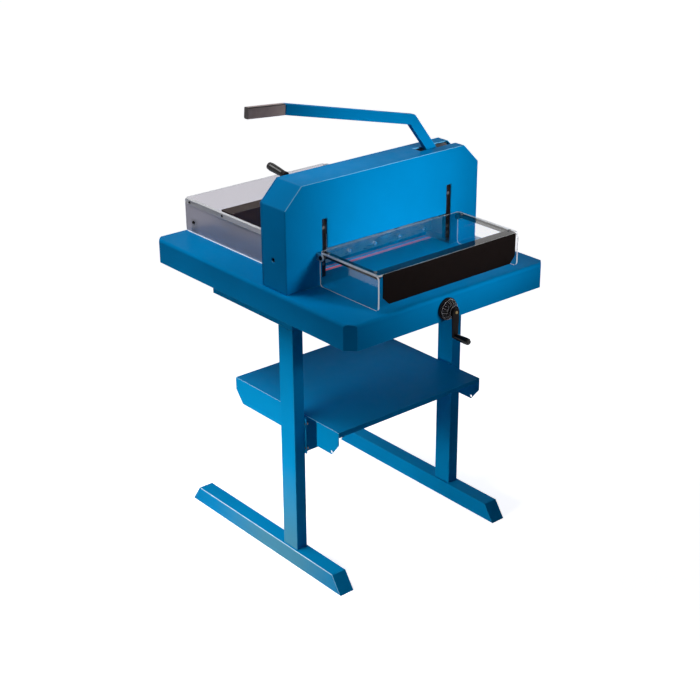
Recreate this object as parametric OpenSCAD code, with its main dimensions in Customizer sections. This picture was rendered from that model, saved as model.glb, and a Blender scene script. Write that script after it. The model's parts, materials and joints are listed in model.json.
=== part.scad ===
// Lever guillotine for paper stacks on a floor stand. Millimetres, +Z up, front towards -Y.

/* [Table] */
// Table width
table_w = 720; // [600:5:900]
// Table depth
table_d = 888; // [760:2:1000]
// Table top above the floor
table_z = 854; // [780:2:920]
// Height of the folded apron
apron_h = 71; // [60:1:90]
// Cut table corners, along each side
corner_cut = 26; // [10:1:40]
// Outer radius of the folds
fold_r = 9; // [5:0.5:14]
// Table sheet thickness
pan_t = 3; // [2:0.5:5]

/* [Stand] */
// Post width across
post_w = 36; // [30:1:50]
// Post depth front to rear
post_d = 62; // [50:1:80]
// Post centre in from the table side
post_in = 60; // [55:1:90]
// Front face of the posts from the table front
post_y = 290; // [260:1:320]
// Wall of posts, feet, bearers and brace
tube_wall = 3; // [2:0.5:4]
// Foot width across
foot_w = 48; // [40:1:60]
// Foot height
foot_h = 52; // [40:1:60]
// Front end of the feet from the table front
foot_y0 = 91; // [60:1:140]
// Rear end of the feet from the table front
foot_y1 = 808; // [740:2:860]
// Set-back of the raked foot ends at the top
foot_rake = 36; // [20:1:50]
// Depth of the bearers below the apron
bearer_drop = 44; // [20:1:60]
// Rear end of the bearers from the table front
bearer_y1 = 657; // [560:1:720]
// Cross brace height
brace_h = 108; // [80:1:130]
// Cross brace depth
brace_d = 30; // [20:1:40]
// Shelf top above the floor
shelf_z = 466; // [380:2:560]
// Front edge of the shelf from the table front
shelf_y0 = 158; // [120:1:220]
// Rear edge of the shelf from the table front
shelf_y1 = 632; // [560:2:700]
// Gap between each post and the shelf flange
shelf_gap = 13; // [8:1:24]
// Shelf flange height
flange_h = 77; // [50:1:90]
// Shelf sheet thickness
shelf_t = 2; // [1.5:0.5:3]

/* [Cutting head] */
// Housing width
head_w = 694; // [580:2:780]
// Housing front face from the table front
head_y = 271; // [240:1:300]
// Housing depth
head_d = 106; // [100:1:124]
// Height of the upright housing ends
head_side_h = 232; // [200:1:260]
// Housing height above the table
head_h = 288; // [280:1:320]
// Housing sheet thickness
head_t = 4; // [3:0.5:5]
// Throat width between the side frames
throat_w = 468; // [440:2:520]
// Throat height
throat_h = 100; // [90:1:110]
// Throat centre to the right of the table centre
throat_x = 10; // [0:1:20]
// Slot width for the slide bars
bar_slot_w = 17; // [14:0.5:20]
// Top of the slide bar slots above the table
bar_slot_h = 184; // [160:1:200]
// Knife travel
knife_lift = 85; // [70:0.5:86]
// Knife edge above the table, as shown
knife_up = 8; // [1:0.5:12]
// Knife thickness
knife_t = 9; // [6:0.5:11]
// Clamp travel
clamp_drop = 78; // [60:1:80]

/* [Lever] */
// Lever pivot outside the throat
pivot_out = 20; // [18:1:24]
// Lever pivot above the table
pivot_z = 185; // [180:1:190]
// Lever bar depth in the plane of swing
lever_h = 29; // [26:1:32]
// Lever bar thickness
lever_t = 17; // [14:0.5:18]
// Lever grip length
grip_l = 114; // [100:1:140]
// Teeth on the full circle of the lever sector
sector_n = 35; // [33:1:37]
// Teeth of the clamp pinion
pinion_n = 20; // [18:1:22]
// Tooth module of both drives
tooth_m = 4; // [3.5:0.1:4.2]

/* [Gauge and guards] */
// Gauge screw axis to the right of the table centre
screw_x = -26; // [-40:1:20]
// Gauge screw axis below the table top
screw_drop = 37; // [35:1:46]
// Gauge screw diameter
screw_d = 16; // [12:1:20]
// Gauge front face from the table front, as shown
gauge_y = 711; // [640:1:740]
// Back gauge height above the table
gauge_h = 82; // [70:1:90]
// Front guard width
guard_w = 510; // [500:2:540]
// Front guard height
guard_h = 100; // [90:1:104]
// Front guard front edge from the table front
guard_y0 = 29; // [10:1:60]
// Clear sheet thickness
clear_t = 5; // [3:0.5:8]
// Rear guard width
bay_w = 526; // [500:2:560]
// Rear guard height
bay_h = 103; // [90:1:120]
// Crank radius
crank_r = 69; // [56:1:80]
// Crank grip length
crank_grip_l = 50; // [40:1:60]

/* [Hidden] */
// Facet number that stands for a true circle
round_fn = 48;
// Overrun of cutting shapes
over = 1;
// Radial clearance of running fits
fit = 0.05;
// Gap between guided or set pieces
slip = 0.3;
// Pressure angle of the teeth
press_deg = 20;
// Thinning of each tooth for backlash
lash = 0.5;
// Root depth of a tooth in modules
root_k = 1.25;
// Steps along each flank
flank_n = 4;
// Half of 45 degrees, for insets at blunt corners
blunt = tan(22.5);

// Stand
post_x = table_w / 2 - post_in;
rail_h = 48;
rail_w = 40;
rail_end = 60;
bearer_z0 = table_z - apron_h - bearer_drop;
bearer_z1 = table_z - pan_t - rail_h;
cap_t = 2;
plug_l = 12;
brace_y = post_y + 6;
brace_z1 = shelf_z - shelf_t;
brace_half = post_x - post_w / 2;
brace_plate_t = 4;
brace_plate_d = 54;
shelf_half = brace_half - shelf_gap;
shelf_lip = 12;
flange_cut_y = 31;
flange_cut_z = 38;
notch_y0 = 253;
notch_y1 = post_y + post_d + 8;
bolt_d = 8;
bolt_head_h = 6;
hex_d = 11;
brace_bolt_y = brace_plate_d / 2 - 6;
brace_bolt_z = brace_h / 2 - 16;

// Cutting head, heights above the table
head_y1 = head_y + head_d;
head_slope = head_h - head_side_h;
head_in_y0 = head_y + head_t;
head_in_y1 = head_y1 - head_t;
throat_x0 = throat_x - throat_w / 2;
throat_x1 = throat_x + throat_w / 2;
rear_throat_h = throat_h - 10;
frame_wall = 10;
frame_x = head_w / 2 - head_t - bolt_head_h - slip - frame_wall;
frame_post_y = head_in_y0 + 15;
frame_low_h = 105;
frame_top_h = 258;
window_in = 24;
window_z = 110;
window_top = 36;
window_r = 12;
bar_y0 = head_in_y0 + over;
bar_t = 12;
bar_w = bar_slot_w - 1.3;
bar_z0 = 20;
bar_z1 = 190;
bar_bolt_z = [57, 158];
bar_head_d = 9;
tie_t = 9;
tie_bolt_d = 6;
tie_tap_l = 20;
tie_head_d = 10;
depth_z = 84;
depth_in = 56;
depth_y = head_y + depth_in;
tie_in = 16;
tie_front_y = head_in_y0 + tie_in;
tie_z0 = 205;
tie_z1 = head_h - 8;
tie_bolt_in = 10;
tie_bolt_z = tie_z0 + tie_bolt_in;
frame_side_h = tie_bolt_z + tie_bolt_in;
tie_clear = 7;
tie_sum = head_w / 2 - head_t + head_side_h - tie_clear;
lobe_x0 = throat_x1 + over;
lobe_w = 34;
pivot_x = throat_x1 + pivot_out;
lobe_x1 = pivot_x + lobe_w;
lobe_drop = 30;
lobe_z0 = pivot_z - lobe_drop;
lobe_cut = 12;
play = 2;
gear_y0 = tie_front_y + tie_t + play;
gear_t = 10;
lever_y0 = gear_y0 + gear_t + play;
carrier_y0 = lever_y0 + lever_t + play;
carrier_t = 12;
carrier_z0 = 30;
carrier_z1 = 112;
tongue_w = 60;
knife_y0 = carrier_y0 + carrier_t;
knife_z1 = 90;
knife_gap = 3;
knife_half = throat_w / 2 - bar_slot_w - knife_gap;
knife_pitch = 92;
knife_bolt_z = 42;
knife_head_d = 12;
bevel_h = 24;
edge_t = 0.6;
tie_rear_in = 1.5;
tie_rear_y = knife_y0 + tie_rear_in;
block_z1 = 75;
shaft_d = 20;
hub_r = 30;
lever_hub_d = 54;
sector_r = sector_n * tooth_m / 2;
sector_first = -1;
sector_last = 8;
rack_x = pivot_x - sector_r;
tooth_p = PI * tooth_m;
rack_back = 10;
rack_top = 4 * tooth_m;
slot_x0 = 157;
slot_gap = 7;
slot_y0 = lever_y0 - slot_gap;
slot_y1 = lever_y0 + lever_t + slot_gap;
slot_z0 = head_side_h - 10;

// Lever corners to the right of the table centre and above the table
grip_rise_deg = 4.7;
grip_dir = [-cos(grip_rise_deg), sin(grip_rise_deg)];
slot_bend = [217, 271];
upper_bend = [134, 379.5];
last_bend = [-301, 482];
lever_pts = [[pivot_x, pivot_z], slot_bend, upper_bend, last_bend, last_bend + grip_dir * grip_l];
sleeve_out = 0.5;
sleeve_wall = 3.5;
grip_h = lever_h + 2 * sleeve_out;
grip_t = lever_t + 2 * sleeve_out;
tang_h = grip_h - 2 * sleeve_wall;
tang_t = grip_t - 2 * sleeve_wall;
grip_r = 4;
grip_start = 3;
grip_end = 5;
grip_tip = lever_pts[3] + grip_dir * (grip_l + grip_end);

// Clamp
clamp_x = -230;
clamp_z = 192;
pinion_r = pinion_n * tooth_m / 2;
clamp_rack_x = clamp_x + pinion_r;
clamp_y0 = knife_y0 + knife_t + play;
clamp_t = head_in_y1 - play - clamp_y0;
clamp_mid = clamp_y0 + clamp_t / 2;
clamp_z0 = 82;
clamp_z1 = 132;
clamp_shaft_d = 14;
bush_d = clamp_shaft_d + 10;
bush_flange_d = 36;
bush_flange_t = 7;
clamp_arm_y = head_y1 + bush_flange_t + play;
clamp_arm_t = 10;
clamp_arm_l = 94;
clamp_arm_w = 18;
clamp_lean = 13;
clamp_boss_d = 30;
clamp_grip_l = 62;
clamp_grip_d = 23;
clamp_stud_deg = 9.5;
stud_end = 12;
clamp_stud_l = clamp_grip_l - stud_end;
clamp_grip_gap = clamp_grip_d * sin(clamp_stud_deg) / 2 + slip;
rod_d = 12;
rod_at = 130;
rod_guide_w = 32;
rod_guide_z0 = 150;
rod_guide_h = 35;

// Gauge
gauge_half = knife_half;
gauge_d = 52;
gauge_t = 9;
gauge_lift = 0.5;
gauge_slot_w = 20;
gauge_slot_y0 = 392;
gauge_slot_y1 = 822;
nut_w = 40;
nut_l = 40;
nut_y = gauge_y + gauge_t + over;
bearing_l = 20;
bearing_w = 44;
bearing_rear_y = gauge_slot_y1 + 6;
screw_end = bearing_rear_y + bearing_l + 4;
collar_d = 30;
collar_l = 12;
stick_w = 12;
stick_h = 10;
stick_behind = 5;
stick_y = knife_y0 + knife_t - stick_w + stick_behind;
trough_w = 4;

// Crank
crank_plate_d = 62;
crank_plate_t = 6;
hub_l = 24;
hub_base_d = 56;
hub_nose_d = 32;
flute_d = 8;
flute_n = 12;
flute_out = 1.5;
flute_deg = atan((hub_base_d / 2 - hub_nose_d / 2 - flute_out) / (hub_l / 2));
arm_t = 7;
arm_w = 22;
arm_end_w = 15;
stud_d = 7;
cap_r = 4;
cap_h = 3;
crank_front = crank_plate_t + hub_l + arm_t + slip + crank_grip_l;
crank_grip_d = 19;

// Guards
guard_off = 4;
guard_x0 = throat_x + guard_off - guard_w / 2;
guard_x1 = throat_x + guard_off + guard_w / 2;
guard_gap = 8;
guard_y1 = head_y - guard_gap;
guard_low = 2;
guard_sheet_z = guard_h - clear_t;
pin_in = 10;
pin_y = guard_y1 - pin_in;
pin_z = guard_h - 14;
pin_d = 8;
pin_head_d = 12;
arm_strip_w = 14;
guard_screw_in = 24;
arm_strip_h = 8;
eye_d = 15;
panel_in = 15;
panel_t = 4;
panel_z0 = 16;
panel_cut = 20;
lip_d = 34;
bracket_t = 4;
bracket_w = 20;
bay_x0 = throat_x - bay_w / 2;
bay_x1 = throat_x + bay_w / 2;
bay_y1 = table_d - 12;
bay_r = 2 * clear_t;
strip_h = 15;
strip_z = bay_h - strip_h / 2;
angle_w = 30;
angle_h = 45;
angle_t = 3;
angle_hole_z = angle_h - 10;
angle_front = 63;
angle_rear = 40;
strip_screw_in = 31;
strip_screw_pitch = 163;
dot_d = 9;
dot_h = 3;
strip_screw_d = 7;

// Middle of the outline, which becomes the origin
mid_x = (grip_tip[0] - abs(grip_dir[1]) * grip_h / 2 + table_w / 2) / 2;
mid_y = (table_d - crank_front) / 2;

// Colours
blue = [0.0, 0.30, 0.58];
steel = [0.75, 0.76, 0.78];
dark = [0.05, 0.05, 0.06];
red = [0.80, 0.12, 0.16];
clear = [0.90, 0.93, 0.97, 0.4];
brown = [0.20, 0.16, 0.14];
brass = [0.75, 0.60, 0.30];
cast = [0.35, 0.36, 0.38];

function involute(a) = tan(a) * 180 / PI - a;
function spot(r, a) = [r * cos(a), r * sin(a)];

// Involute flanks of one tooth, from root to tip and back, pointing along +X at angle a
function tooth(n, a) = let (
    rp = n * tooth_m / 2,
    rb = rp * cos(press_deg),
    root = rp - root_k * tooth_m,
    tip = rp + tooth_m,
    half = 90 / n - lash / 2 / rp * 180 / PI + involute(press_deg),
    low = max(rb, root) + 0.01,
    steps = [0 : flank_n]
) concat(
    [spot(root, a - half)],
    [for (i = steps) let (r = low + (tip - low) * i / flank_n) spot(r, a - half + involute(acos(rb / r)))],
    [for (i = steps) let (r = tip - (tip - low) * i / flank_n) spot(r, a + half - involute(acos(rb / r)))],
    [spot(root, a + half)]
);

// Half outline of a turned handle, thickest near its outer end
function grip_profile(r, l) = [[0, 0], [0.7 * r, 0], [0.8 * r, 0.06 * l], [0.9 * r, l / 3], [r, 0.78 * l],
    [0.9 * r, 0.95 * l], [0.65 * r, l], [0, l]];

// Corner points of a bent bar: side s of corner i
function seg_n(p, i) = let (d = (p[i + 1] - p[i]) / norm(p[i + 1] - p[i])) [-d[1], d[0]];
function miter(p, i, w) = let (
    last = len(p) - 1,
    a = seg_n(p, max(i - 1, 0)),
    b = seg_n(p, min(i, last - 1))
) (a + b) * w / (1 + a * b);

// Shifts a piece so that the outline's middle is the origin
module placed() {
    translate([-mid_x, -mid_y, 0]) children();
}

// The same, with heights counted from the table top
module on_table() {
    translate([-mid_x, -mid_y, table_z]) children();
}

// Box from two corners
module span(a, b) {
    translate(a) cube(b - a);
}

// Cylinder along +Y from a point
module rod_y(x, y, z, d, l) {
    translate([x, y, z]) rotate([-90, 0, 0]) cylinder(d = d, h = l, $fn = round_fn);
}

// Cylinder along +X from a point
module rod_x(x, y, z, d, l) {
    translate([x, y, z]) rotate([0, 90, 0]) cylinder(d = d, h = l, $fn = round_fn);
}

// Upright cylinder
module rod_z(x, y, z, d, l) {
    translate([x, y, z]) cylinder(d = d, h = l, $fn = round_fn);
}

// Drawing in X and Z, made solid from y for a depth l
module xz(y, l) {
    translate([0, y + l, 0]) rotate([90, 0, 0]) linear_extrude(height = l) children();
}

// Drawing in Y and Z, made solid from x for a width l
module yz(x, l) {
    translate([x, 0, 0]) rotate([90, 0, 90]) linear_extrude(height = l) children();
}

// Rectangle with round corners from two corners
module round_rect(a, b, r) {
    translate([a[0] + r, a[1]]) square([b[0] - a[0] - 2 * r, b[1] - a[1]]);
    translate([a[0], a[1] + r]) square([b[0] - a[0], b[1] - a[1] - 2 * r]);
    for (x = [a[0] + r, b[0] - r], y = [a[1] + r, b[1] - r])
        translate([x, y]) circle(r = r, $fn = round_fn);
}

// Bar along Y with a round-edged top, folded like sheet
module fold_prism(w, h, r, l) {
    rotate([90, 0, 0]) linear_extrude(height = l, center = true) {
        translate([-w / 2, 0]) square([w, h - r]);
        translate([-w / 2 + r, 0]) square([w - 2 * r, h]);
        for (s = [-1, 1])
            translate([s * (w / 2 - r), h - r]) circle(r = r, $fn = round_fn);
    }
}

// Block with cut corners and folded long edges
module soft_block(w, d, h, c, r) {
    difference() {
        intersection() {
            fold_prism(w, h, r, d);
            rotate([0, 0, 90]) fold_prism(d, h, r, w);
        }
        for (x = [-1, 1], y = [-1, 1])
            translate([x * w / 2, y * d / 2, h / 2]) rotate([0, 0, 45])
                cube([c * sqrt(2), c * sqrt(2), h + 2 * over], center = true);
    }
}

// Housing outline in X and Z, inset by t and open below by b
module head_shape(t, b) {
    polygon([[-head_w / 2 + t, -b], [head_w / 2 - t, -b], [head_w / 2 - t, head_side_h - t * blunt],
        [head_w / 2 - head_slope - t * blunt, head_h - t],
        [-head_w / 2 + head_slope + t * blunt, head_h - t],
        [-head_w / 2 + t, head_side_h - t * blunt]]);
}

// Rack teeth in X and Z: pitch line on x = 0, teeth towards +X, a gap at z = 0
module rack_shape(z0, z1) {
    first = ceil(z0 / tooth_p);
    last = floor(z1 / tooth_p) - 1;
    tip = tooth_p / 4 - lash / 2 - tooth_m * tan(press_deg);
    root = tooth_p / 4 - lash / 2 + root_k * tooth_m * tan(press_deg);
    translate([-root_k * tooth_m - rack_back, z0]) square([rack_back, z1 - z0]);
    for (j = [first : last]) let (z = (j + 0.5) * tooth_p)
        polygon([[-root_k * tooth_m - over, z - root], [-root_k * tooth_m, z - root], [tooth_m, z - tip],
            [tooth_m, z + tip], [-root_k * tooth_m, z + root], [-root_k * tooth_m - over, z + root]]);
}

// Raked end of a foot: y at height z, from the front or the rear
function foot_front(z) = foot_y0 + foot_rake * z / foot_h;
function foot_back(z) = foot_y1 - foot_rake * z / foot_h;

module feet() {
    color(blue) placed() for (s = [-1, 1])
        difference() {
            yz(s * post_x - foot_w / 2, foot_w)
                polygon([[foot_front(0), 0], [foot_back(0), 0], [foot_back(foot_h), foot_h],
                    [foot_front(foot_h), foot_h]]);
            yz(s * post_x - foot_w / 2 + tube_wall, foot_w - 2 * tube_wall)
                translate([foot_y0 - over, tube_wall])
                    square([foot_y1 - foot_y0 + 2 * over, foot_h - 2 * tube_wall]);
        }
}

module foot_caps() {
    low = tube_wall + slip;
    high = foot_h - tube_wall - slip;
    color(blue) placed() for (s = [-1, 1], e = [0, 1]) {
        yz(s * post_x - foot_w / 2, foot_w)
            if (e == 0)
                polygon([[foot_front(0) - cap_t, 0], [foot_front(0), 0], [foot_front(foot_h), foot_h],
                    [foot_front(foot_h) - cap_t, foot_h]]);
            else
                polygon([[foot_back(0) + cap_t, 0], [foot_back(0), 0], [foot_back(foot_h), foot_h],
                    [foot_back(foot_h) + cap_t, foot_h]]);
        yz(s * post_x - foot_w / 2 + low, foot_w - 2 * low)
            if (e == 0)
                polygon([[foot_front(low) - cap_t / 2, low], [foot_front(low) + plug_l, low],
                    [foot_front(high) + plug_l, high], [foot_front(high) - cap_t / 2, high]]);
            else
                polygon([[foot_back(low) + cap_t / 2, low], [foot_back(low) - plug_l, low],
                    [foot_back(high) - plug_l, high], [foot_back(high) + cap_t / 2, high]]);
    }
}

module posts() {
    color(blue) placed() for (s = [-1, 1])
        difference() {
            span([s * post_x - post_w / 2, post_y, foot_h],
                [s * post_x + post_w / 2, post_y + post_d, bearer_z0]);
            span([s * post_x - post_w / 2 + tube_wall, post_y + tube_wall, foot_h - over],
                [s * post_x + post_w / 2 - tube_wall, post_y + post_d - tube_wall, bearer_z0 + over]);
        }
}

module bearers() {
    color(blue) placed() for (s = [-1, 1])
        difference() {
            span([s * post_x - post_w / 2, post_y, bearer_z0],
                [s * post_x + post_w / 2, bearer_y1, bearer_z1]);
            span([s * post_x - post_w / 2 + tube_wall, post_y + tube_wall, bearer_z0 + tube_wall],
                [s * post_x + post_w / 2 - tube_wall, bearer_y1 + over, bearer_z1 - tube_wall]);
        }
}

module cross_brace() {
    mid = brace_y + brace_d / 2;
    z0 = brace_z1 - brace_h;
    color(blue) placed() difference() {
        union() {
            difference() {
                span([-brace_half + over, brace_y, z0], [brace_half - over, brace_y + brace_d, brace_z1]);
                span([-brace_half, brace_y + tube_wall, z0 + tube_wall],
                    [brace_half, brace_y + brace_d - tube_wall, brace_z1 - tube_wall]);
            }
            for (s = [-1, 1])
                translate([s * (brace_half - brace_plate_t / 2), mid, z0 + brace_h / 2])
                    cube([brace_plate_t, brace_plate_d, brace_h], center = true);
        }
        for (s = [-1, 1], y = [-1, 1], z = [-1, 1])
            rod_x(s * brace_half - brace_plate_t - over, mid + y * brace_bolt_y,
                z0 + brace_h / 2 + z * brace_bolt_z, bolt_d + 2 * fit, 2 * brace_plate_t + 2 * over);
    }
}

module brace_bolts() {
    mid = brace_y + brace_d / 2;
    z0 = brace_z1 - brace_h;
    color(steel) placed() for (s = [-1, 1], y = [-1, 1], z = [-1, 1])
        translate([s * (brace_half - brace_plate_t), mid + y * brace_bolt_y,
            z0 + brace_h / 2 + z * brace_bolt_z]) rotate([0, s * 90, 0]) {
            translate([0, 0, -bolt_head_h + over])
                cylinder(d = hex_d, h = bolt_head_h - over, $fn = 6);
            cylinder(d = bolt_d, h = brace_plate_t, $fn = round_fn);
        }
}

module shelf() {
    z0 = shelf_z - flange_h;
    color(blue) placed() {
        span([-shelf_half, shelf_y0, shelf_z - shelf_t], [shelf_half, shelf_y1, shelf_z]);
        for (y = [shelf_y0, shelf_y1 - shelf_t])
            span([-shelf_half, y, shelf_z - shelf_lip], [shelf_half, y + shelf_t, shelf_z]);
        for (x = [-shelf_half, shelf_half - shelf_t])
            difference() {
                yz(x, shelf_t) difference() {
                    polygon([[shelf_y0, shelf_z], [shelf_y0, z0 + flange_cut_z],
                        [shelf_y0 + flange_cut_y, z0], [shelf_y1 - flange_cut_y, z0],
                        [shelf_y1, z0 + flange_cut_z], [shelf_y1, shelf_z]]);
                    translate([notch_y0, z0 - over])
                        square([notch_y1 - notch_y0, flange_h - shelf_t + over]);
                }
                rod_x(x - over, shelf_y0 + flange_cut_y, z0 + bolt_d, bolt_d, shelf_t + 2 * over);
            }
    }
}

module table_pan() {
    color(blue) placed() difference() {
        union() {
            difference() {
                translate([0, table_d / 2, table_z - apron_h])
                    soft_block(table_w, table_d, apron_h, corner_cut, fold_r);
                translate([0, table_d / 2, table_z - apron_h - over])
                    soft_block(table_w - 2 * pan_t, table_d - 2 * pan_t, apron_h - pan_t + over,
                        corner_cut - 2 * pan_t * (1 - sqrt(0.5)), fold_r - pan_t);
            }
            span([throat_x0 - trough_w, stick_y - trough_w, table_z - stick_h - trough_w],
                [throat_x1 + trough_w, stick_y + stick_w + trough_w, table_z - pan_t + over]);
        }
        span([throat_x0, stick_y, table_z - stick_h], [throat_x1, stick_y + stick_w, table_z + over]);
        span([screw_x - gauge_slot_w / 2, gauge_slot_y0, table_z - pan_t - over],
            [screw_x + gauge_slot_w / 2, gauge_slot_y1, table_z + over]);
        rod_y(screw_x, -over, table_z - screw_drop, screw_d + 2 * slip, pan_t + 2 * over);
    }
}

module bed_rails() {
    color(cast) placed() for (s = [-1, 1])
        difference() {
            span([s * post_x - rail_w / 2, rail_end, bearer_z1],
                [s * post_x + rail_w / 2, table_d - rail_end, table_z - pan_t]);
            span([s * post_x - rail_w / 2 + tube_wall, rail_end - over, bearer_z1 + tube_wall],
                [s * post_x + rail_w / 2 - tube_wall, table_d - rail_end + over,
                    table_z - pan_t - tube_wall]);
        }
}

module cutting_stick() {
    color(red) on_table()
        span([throat_x0 + slip, stick_y + fit, -stick_h], [throat_x1 - slip, stick_y + stick_w - fit, 0]);
}

module gauge_casting() {
    back = gauge_y + gauge_d;
    color(brown) on_table() {
        span([throat_x - gauge_half, gauge_y, gauge_lift],
            [throat_x + gauge_half, gauge_y + gauge_t, gauge_h]);
        span([throat_x - gauge_half, gauge_y, gauge_h - gauge_t], [throat_x + gauge_half, back, gauge_h]);
        span([screw_x - 2 * nut_w, gauge_y, gauge_lift], [screw_x + 2 * nut_w, back, gauge_lift + gauge_t]);
        for (i = [-2 : 2])
            yz(throat_x + i * (gauge_half - gauge_t) / 2 - gauge_t / 2, gauge_t)
                polygon([[gauge_y, gauge_lift], [gauge_y + 2 * gauge_t, gauge_lift],
                    [back - gauge_t, gauge_h - gauge_t], [gauge_y, gauge_h - gauge_t]]);
    }
}

module gauge_nut() {
    color(brass) on_table() difference() {
        union() {
            span([screw_x - nut_w / 2, nut_y, -screw_drop - nut_w / 2],
                [screw_x + nut_w / 2, nut_y + nut_l, -pan_t - over]);
            span([screw_x - gauge_slot_w / 2 + slip, nut_y, -pan_t - 2 * over],
                [screw_x + gauge_slot_w / 2 - slip, nut_y + nut_l, gauge_lift]);
        }
        rod_y(screw_x, nut_y - over, -screw_drop, screw_d + 2 * fit, nut_l + 2 * over);
    }
}

module gauge_screw() {
    color(steel) on_table()
        rod_y(screw_x, -crank_plate_t - hub_l, -screw_drop, screw_d, crank_plate_t + hub_l + screw_end);
}

module screw_bearings() {
    drop = screw_drop + bearing_w / 2;
    color(cast) on_table() for (y = [pan_t, bearing_rear_y])
        difference() {
            union() {
                span([screw_x - bearing_w / 2, y, -drop],
                    [screw_x + bearing_w / 2, y + bearing_l, y > pan_t ? -pan_t : -fold_r]);
                if (y > pan_t)
                    span([screw_x - bearing_w, y, -2 * pan_t],
                        [screw_x + bearing_w, y + bearing_l, -pan_t]);
            }
            rod_y(screw_x, y - over, -screw_drop, screw_d + 2 * fit, bearing_l + 2 * over);
        }
}

module thrust_collar() {
    color(steel) on_table() difference() {
        rod_y(screw_x, pan_t + bearing_l + slip, -screw_drop, collar_d, collar_l);
        rod_y(screw_x, pan_t + bearing_l - over, -screw_drop, screw_d + fit, collar_l + 3 * over);
    }
}

module crank_plate() {
    color(dark) on_table() difference() {
        rod_y(screw_x, -crank_plate_t, -screw_drop, crank_plate_d, crank_plate_t);
        rod_y(screw_x, -crank_plate_t - over, -screw_drop, screw_d + 2 * fit, crank_plate_t + 2 * over);
    }
}

module crank_hub() {
    l = hub_l - slip;
    color(dark) on_table() translate([screw_x, -crank_plate_t - slip, -screw_drop]) rotate([90, 0, 0])
        difference() {
            rotate_extrude($fn = round_fn) difference() {
                polygon([[0, 0], [hub_base_d / 2, 0], [hub_base_d / 2, l / 4],
                    [hub_nose_d / 2 + flute_out, 3 * l / 4],
                    [hub_nose_d / 2, l], [0, l]]);
                square([screw_d / 2 + fit / 2, l]);
            }
            for (i = [0 : flute_n - 1])
                rotate([0, 0, i * 360 / flute_n]) translate([hub_base_d / 2 + flute_out, 0, l / 4])
                    rotate([0, -flute_deg, 0])
                        cylinder(d = flute_d, h = l / 2 / cos(flute_deg), $fn = round_fn);
        }
}

module crank_arm() {
    y = -crank_plate_t - hub_l;
    color(dark) on_table() {
        xz(y - arm_t, arm_t) translate([screw_x, -screw_drop]) {
            circle(d = arm_w, $fn = round_fn);
            polygon([[-arm_w / 2, 0], [-arm_end_w / 2, -crank_r], [arm_end_w / 2, -crank_r], [arm_w / 2, 0]]);
            translate([0, -crank_r]) circle(d = arm_end_w, $fn = round_fn);
        }
        rod_y(screw_x, y - arm_t - crank_grip_l + stud_end, -screw_drop - crank_r, stud_d,
            crank_grip_l - stud_end + over);
    }
}

module crank_screw() {
    y = -crank_plate_t - hub_l - arm_t;
    color(brass) on_table() translate([screw_x, y, -screw_drop]) rotate([90, 0, 0])
        rotate_extrude($fn = round_fn)
            polygon([[0, 0], [cap_r, 0], [cap_r, cap_h / 2], [0.75 * cap_r, cap_h], [0, cap_h]]);
}

module crank_grip() {
    y = -crank_plate_t - hub_l - arm_t - slip;
    color(dark) on_table() translate([screw_x, y, -screw_drop - crank_r]) rotate([90, 0, 0])
        difference() {
            rotate_extrude($fn = round_fn)
                polygon(grip_profile(crank_grip_d / 2, crank_grip_l));
            translate([0, 0, -over])
                cylinder(d = stud_d + 2 * fit, h = crank_grip_l - stud_end + 2 * over, $fn = round_fn);
        }
}

module housing_cover() {
    color(blue) on_table() difference() {
        xz(head_y, head_d - head_t) head_shape(0, 0);
        xz(head_in_y0, head_d) head_shape(head_t, over);
        span([throat_x0, head_y - over, -over], [throat_x1, head_in_y0 + over, throat_h]);
        for (x = [throat_x0, throat_x1 - bar_slot_w])
            span([x, head_y - over, 0], [x + bar_slot_w, head_in_y0 + over, bar_slot_h]);
        span([slot_x0, slot_y0, slot_z0], [head_w, slot_y1, head_h + over]);
        rod_x(-head_w / 2 - over, depth_y, depth_z, 2 * tie_bolt_d, head_t + 2 * over);
    }
}

module rear_panel() {
    color(blue) on_table() difference() {
        xz(head_in_y1, head_t) head_shape(0, 0);
        span([throat_x0, head_in_y1 - over, -over], [throat_x1, head_y1 + over, rear_throat_h]);
        rod_y(clamp_x, head_in_y1 - over, clamp_z, bush_d + 2 * fit, head_t + 2 * over);
    }
}

module side_frames() {
    y0 = head_in_y0 + slip;
    y1 = head_in_y1 - slip;
    color(cast) on_table() for (s = [-1, 1]) {
        inner = s < 0 ? throat_x0 - frame_wall : throat_x1;
        outer = s < 0 ? -frame_x - frame_wall : frame_x;
        yz(inner, frame_wall)
            polygon([[y0, 0], [y1, 0], [y1, frame_low_h], [frame_post_y, frame_low_h],
                [frame_post_y, frame_top_h], [y0, frame_top_h]]);
        span([min(inner, outer), y0, 0], [max(inner, outer) + frame_wall, y1, frame_wall]);
        difference() {
            yz(outer, frame_wall) difference() {
                polygon([[y0, 0], [y1, 0], [y1, frame_side_h], [y0, frame_side_h]]);
                round_rect([y0 + window_in, window_z],
                    [y1 - window_in, frame_side_h - window_top], window_r);
            }
            for (y = [tie_front_y, tie_rear_y])
                rod_x(outer - over, y + tie_t / 2, tie_bolt_z, tie_bolt_d + 2 * fit, frame_wall + 2 * over);
            if (s < 0)
                rod_x(outer - over, depth_y, depth_z, tie_bolt_d + 2 * fit, frame_wall + 2 * over);
        }
    }
}

// Tie plate in X and Z with a lobe for the lever shaft
module tie_shape() {
    half = frame_x - fit;
    difference() {
        union() {
            polygon([[-half, tie_z0], [half, tie_z0], [half, tie_sum - half], [tie_sum - tie_z1, tie_z1],
                [-tie_sum + tie_z1, tie_z1], [-half, tie_sum - half]]);
            polygon([[lobe_x0, tie_z0 + over], [lobe_x0, lobe_z0], [lobe_x1 - lobe_cut, lobe_z0],
                [lobe_x1, lobe_z0 + lobe_cut], [lobe_x1, tie_z0 + over]]);
        }
        translate([pivot_x, pivot_z]) circle(d = shaft_d + fit, $fn = round_fn);
    }
}

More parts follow.
